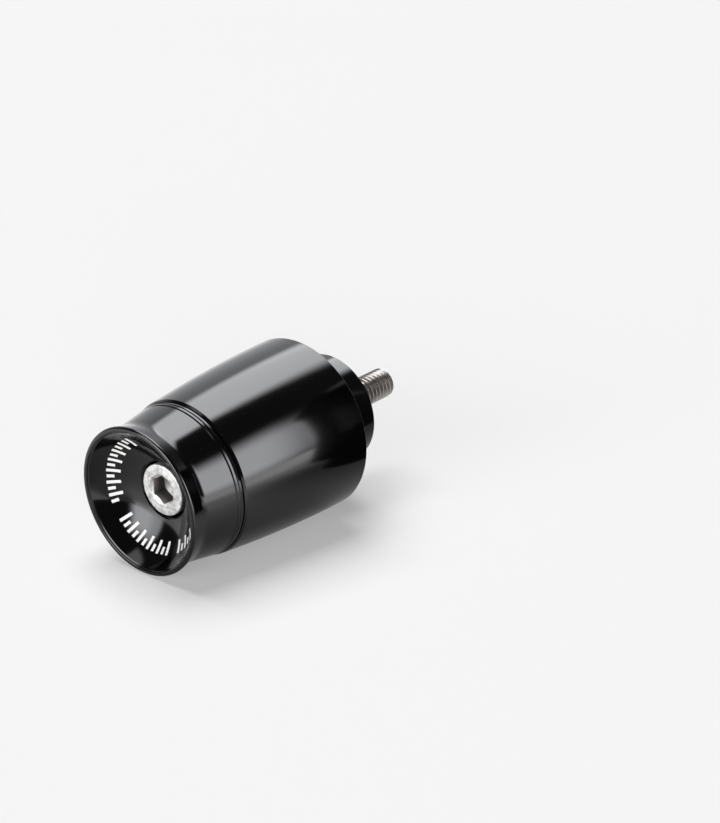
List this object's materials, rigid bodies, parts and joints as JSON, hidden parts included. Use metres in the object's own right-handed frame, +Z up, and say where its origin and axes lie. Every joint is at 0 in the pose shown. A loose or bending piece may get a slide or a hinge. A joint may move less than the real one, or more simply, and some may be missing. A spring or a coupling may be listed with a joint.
{
  "type": "bar end weight",
  "caption": "Turned handlebar end weight with a flared, dished cap, a trim ring, a tapered barrel, a keyed collar and a socket head screw through it.",
  "frame": {"origin": "on the turning axis, at the collar's end face, which seats on the end of the handlebar", "axes": "+X along the turning axis, from the rim to the screw's free end, the way the bar lies; +Z up as fitted on a level bar; the collar's key is at the bottom"},
  "size_m": [0.0672, 0.034, 0.034],
  "materials": {
    "cap_black": "gloss black anodised",
    "ring_black": "gloss black anodised",
    "weight_black": "gloss black anodised",
    "screw_steel": "stainless steel, satin"
  },
  "bodies": {
    "root": {"end_cap": "cap_black", "trim_ring": "ring_black", "weight_body": "weight_black", "cap_screw": "screw_steel"}
  },
  "joints": []
}
